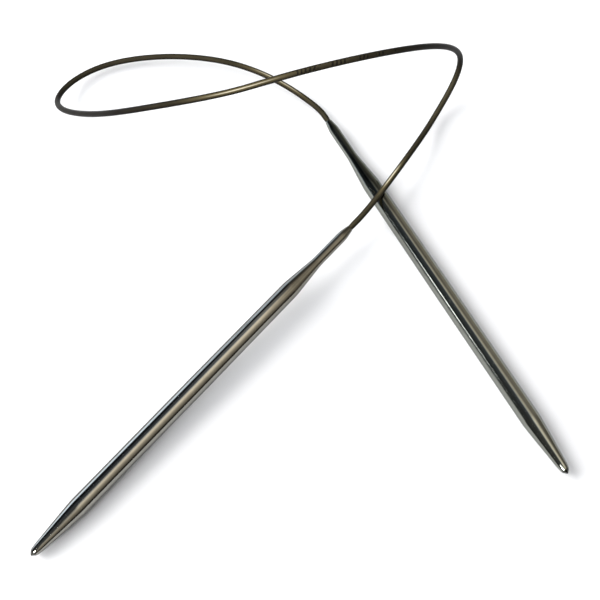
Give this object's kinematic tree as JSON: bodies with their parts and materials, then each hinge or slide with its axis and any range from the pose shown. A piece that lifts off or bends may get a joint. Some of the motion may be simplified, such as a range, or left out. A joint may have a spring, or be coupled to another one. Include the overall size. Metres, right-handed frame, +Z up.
{
  "type": "circular knitting needle",
  "caption": "Circular knitting needle: polished metal needle tips with blunt points and slim necks, joined end to end by a thin bendable nylon cable that stands in an arch.",
  "frame": {"origin": "middle of the object's outline seen from above, on the table plane both needles rest on", "axes": "+Z up, away from the table; +X to the right and +Y to the back as the object lies with the needle points toward the front"},
  "size_m": [0.1459, 0.1518, 0.0584],
  "materials": {
    "nickel": "polished nickel plate",
    "nylon_cable": "smooth dark bronze nylon"
  },
  "bodies": {
    "right_needle_body": {"right_needle": "nickel", "cable_seat_right": "nylon_cable", "cable_piece_28": "nylon_cable", "cable_piece_27": "nylon_cable"},
    "cable_26": {"cable_piece_26": "nylon_cable"},
    "cable_25": {"cable_piece_25": "nylon_cable"},
    "cable_24": {"cable_piece_24": "nylon_cable"},
    "cable_23": {"cable_piece_23": "nylon_cable"},
    "cable_22": {"cable_piece_22": "nylon_cable"},
    "cable_21": {"cable_piece_21": "nylon_cable"},
    "cable_20": {"cable_piece_20": "nylon_cable"},
    "cable_19": {"cable_piece_19": "nylon_cable"},
    "cable_18": {"cable_piece_18": "nylon_cable"},
    "cable_17": {"cable_piece_17": "nylon_cable"},
    "cable_16": {"cable_piece_16": "nylon_cable"},
    "cable_15": {"cable_piece_15": "nylon_cable"},
    "cable_14": {"cable_piece_14": "nylon_cable"},
    "cable_13": {"cable_piece_13": "nylon_cable"},
    "cable_12": {"cable_piece_12": "nylon_cable"},
    "cable_11": {"cable_piece_11": "nylon_cable"},
    "cable_10": {"cable_piece_10": "nylon_cable"},
    "cable_09": {"cable_piece_09": "nylon_cable"},
    "cable_08": {"cable_piece_08": "nylon_cable"},
    "cable_07": {"cable_piece_07": "nylon_cable"},
    "cable_06": {"cable_piece_06": "nylon_cable"},
    "cable_05": {"cable_piece_05": "nylon_cable"},
    "cable_04": {"cable_piece_04": "nylon_cable"},
    "cable_03": {"cable_piece_03": "nylon_cable"},
    "cable_02": {"cable_piece_02": "nylon_cable"},
    "cable_01": {"cable_piece_01": "nylon_cable"},
    "left_needle_body": {"left_needle": "nickel", "cable_seat_left": "nylon_cable"}
  },
  "joints": [
    {"name": "right_needle_swing_2", "type": "hinge", "parent": "right_needle_body", "child": "cable_26", "pos_m": [0.018, 0.05235, 0.00337], "axis": [0, 0, 1], "range_deg": [-1.55, 2.05]},
    {"name": "right_needle_swing_3", "type": "hinge", "parent": "cable_26", "child": "cable_25", "pos_m": [0.00935, 0.05996, 0.00451], "axis": [0, 0, 1], "range_deg": [-1.55, 2.05]},
    {"name": "right_needle_swing_4", "type": "hinge", "parent": "cable_25", "child": "cable_24", "pos_m": [-0.00451, 0.0682, 0.00496], "axis": [0, 0, 1], "range_deg": [-1.55, 2.05]},
    {"name": "right_needle_swing", "type": "hinge", "parent": "cable_24", "child": "cable_23", "pos_m": [-0.02266, 0.07396, 0.00373], "axis": [0, 0, 1], "range_deg": [-1.5, 2]},
    {"name": "loop_lift", "type": "hinge", "parent": "cable_23", "child": "cable_22", "pos_m": [-0.04025, 0.075, 0.00242], "axis": [-0.2, -0.9798, 0], "range_deg": [0, 5]},
    {"name": "loop_lift_2", "type": "hinge", "parent": "cable_22", "child": "cable_21", "pos_m": [-0.05223, 0.07016, 0.00305], "axis": [-0.2, -0.9798, 0], "range_deg": [0, 5.05]},
    {"name": "loop_lift_3", "type": "hinge", "parent": "cable_21", "child": "cable_20", "pos_m": [-0.05658, 0.06175, 0.007], "axis": [-0.2, -0.9798, 0], "range_deg": [0, 5.05]},
    {"name": "arch_spread_2", "type": "hinge", "parent": "cable_20", "child": "cable_19", "pos_m": [-0.05302, 0.05257, 0.01491], "axis": [-0.03, 0.8221, 0.5686], "range_deg": [0, 4]},
    {"name": "arch_spread_3", "type": "hinge", "parent": "cable_19", "child": "cable_18", "pos_m": [-0.04508, 0.04383, 0.02525], "axis": [-0.03, 0.8221, 0.5686], "range_deg": [0, 2.55]},
    {"name": "arch_spread_4", "type": "hinge", "parent": "cable_18", "child": "cable_17", "pos_m": [-0.03631, 0.03632, 0.03596], "axis": [-0.03, 0.8221, 0.5686], "range_deg": [0, 1.55]},
    {"name": "arch_spread_5", "type": "hinge", "parent": "cable_17", "child": "cable_16", "pos_m": [-0.02642, 0.03075, 0.04492], "axis": [-0.03, 0.8221, 0.5686], "range_deg": [-2.7, 0]},
    {"name": "arch_spread_6", "type": "hinge", "parent": "cable_16", "child": "cable_15", "pos_m": [-0.01485, 0.02755, 0.05062], "axis": [-0.03, 0.8221, 0.5686], "range_deg": [-2.8, 0]},
    {"name": "arch_spread_7", "type": "hinge", "parent": "cable_15", "child": "cable_14", "pos_m": [-0.00392, 0.02617, 0.054], "axis": [-0.03, 0.8221, 0.5686], "range_deg": [-3.25, 0]},
    {"name": "arch_spread_8", "type": "hinge", "parent": "cable_14", "child": "cable_13", "pos_m": [0.00464, 0.02593, 0.05631], "axis": [-0.03, 0.8221, 0.5686], "range_deg": [-3.1, 0]},
    {"name": "arch_spread_9", "type": "hinge", "parent": "cable_13", "child": "cable_12", "pos_m": [0.014, 0.02675, 0.0575], "axis": [-0.03, 0.8221, 0.5686], "range_deg": [-2.45, 0]},
    {"name": "arch_spread_10", "type": "hinge", "parent": "cable_12", "child": "cable_11", "pos_m": [0.02733, 0.02903, 0.05653], "axis": [-0.03, 0.8221, 0.5686], "range_deg": [-0.85, 0]},
    {"name": "arch_spread_11", "type": "hinge", "parent": "cable_11", "child": "cable_10", "pos_m": [0.04267, 0.0345, 0.04975], "axis": [-0.03, 0.8221, 0.5686], "range_deg": [0, 2]},
    {"name": "arch_spread", "type": "hinge", "parent": "cable_10", "child": "cable_09", "pos_m": [0.05649, 0.04357, 0.03499], "axis": [-0.03, 0.8221, 0.5686], "range_deg": [0, 5]},
    {"name": "right_leg_lift", "type": "hinge", "parent": "cable_09", "child": "cable_08", "pos_m": [0.06425, 0.05008, 0.01867], "axis": [-0.7778, 0.6285, 0], "range_deg": [0, 6]},
    {"name": "right_leg_lift_2", "type": "hinge", "parent": "cable_08", "child": "cable_07", "pos_m": [0.06303, 0.04848, 0.00778], "axis": [-0.7778, 0.6285, 0], "range_deg": [0, 6.05]},
    {"name": "right_leg_lift_3", "type": "hinge", "parent": "cable_07", "child": "cable_06", "pos_m": [0.0575, 0.04225, 0.00308], "axis": [-0.7778, 0.6285, 0], "range_deg": [0, 6.05]},
    {"name": "right_leg_lift_4", "type": "hinge", "parent": "cable_06", "child": "cable_05", "pos_m": [0.05271, 0.03592, 0.0033], "axis": [-0.7778, 0.6285, 0], "range_deg": [0, 6.05]},
    {"name": "left_needle_swing", "type": "hinge", "parent": "cable_05", "child": "cable_04", "pos_m": [0.04767, 0.02911, 0.00535], "axis": [0, 0, 1], "range_deg": [-12, 12]},
    {"name": "left_needle_lift", "type": "hinge", "parent": "cable_04", "child": "cable_03", "pos_m": [0.04079, 0.02095, 0.00639], "axis": [-0.6374, 0.7705, 0], "range_deg": [0, 15]},
    {"name": "left_needle_swing_2", "type": "hinge", "parent": "cable_03", "child": "cable_02", "pos_m": [0.03404, 0.01362, 0.00654], "axis": [0, 0, 1], "range_deg": [-12.05, 12.05]},
    {"name": "left_needle_lift_2", "type": "hinge", "parent": "cable_02", "child": "cable_01", "pos_m": [0.02959, 0.00921, 0.00647], "axis": [-0.6374, 0.7705, 0], "range_deg": [0, 15.05]},
    {"name": "left_needle_swing_3", "type": "hinge", "parent": "cable_01", "child": "left_needle_body", "pos_m": [0.02664, 0.00667, 0.00636], "axis": [0, 0, 1], "range_deg": [-12.05, 12.05]}
  ],
  "couplings": [
    {"joint": "left_needle_swing_2", "follows": "left_needle_swing", "ratio": 1},
    {"joint": "left_needle_swing_3", "follows": "left_needle_swing", "ratio": 1},
    {"joint": "left_needle_lift_2", "follows": "left_needle_lift", "ratio": 1},
    {"joint": "right_leg_lift_2", "follows": "right_leg_lift", "ratio": 1},
    {"joint": "right_leg_lift_3", "follows": "right_leg_lift", "ratio": 1},
    {"joint": "right_leg_lift_4", "follows": "right_leg_lift", "ratio": 1},
    {"joint": "arch_spread_2", "follows": "arch_spread", "ratio": 0.79},
    {"joint": "arch_spread_3", "follows": "arch_spread", "ratio": 0.5},
    {"joint": "arch_spread_4", "follows": "arch_spread", "ratio": 0.3},
    {"joint": "arch_spread_5", "follows": "arch_spread", "ratio": -0.53},
    {"joint": "arch_spread_6", "follows": "arch_spread", "ratio": -0.55},
    {"joint": "arch_spread_7", "follows": "arch_spread", "ratio": -0.64},
    {"joint": "arch_spread_8", "follows": "arch_spread", "ratio": -0.61},
    {"joint": "arch_spread_9", "follows": "arch_spread", "ratio": -0.48},
    {"joint": "arch_spread_10", "follows": "arch_spread", "ratio": -0.16},
    {"joint": "arch_spread_11", "follows": "arch_spread", "ratio": 0.39},
    {"joint": "loop_lift_2", "follows": "loop_lift", "ratio": 1},
    {"joint": "loop_lift_3", "follows": "loop_lift", "ratio": 1},
    {"joint": "right_needle_swing_2", "follows": "right_needle_swing", "ratio": 1},
    {"joint": "right_needle_swing_3", "follows": "right_needle_swing", "ratio": 1},
    {"joint": "right_needle_swing_4", "follows": "right_needle_swing", "ratio": 1}
  ]
}
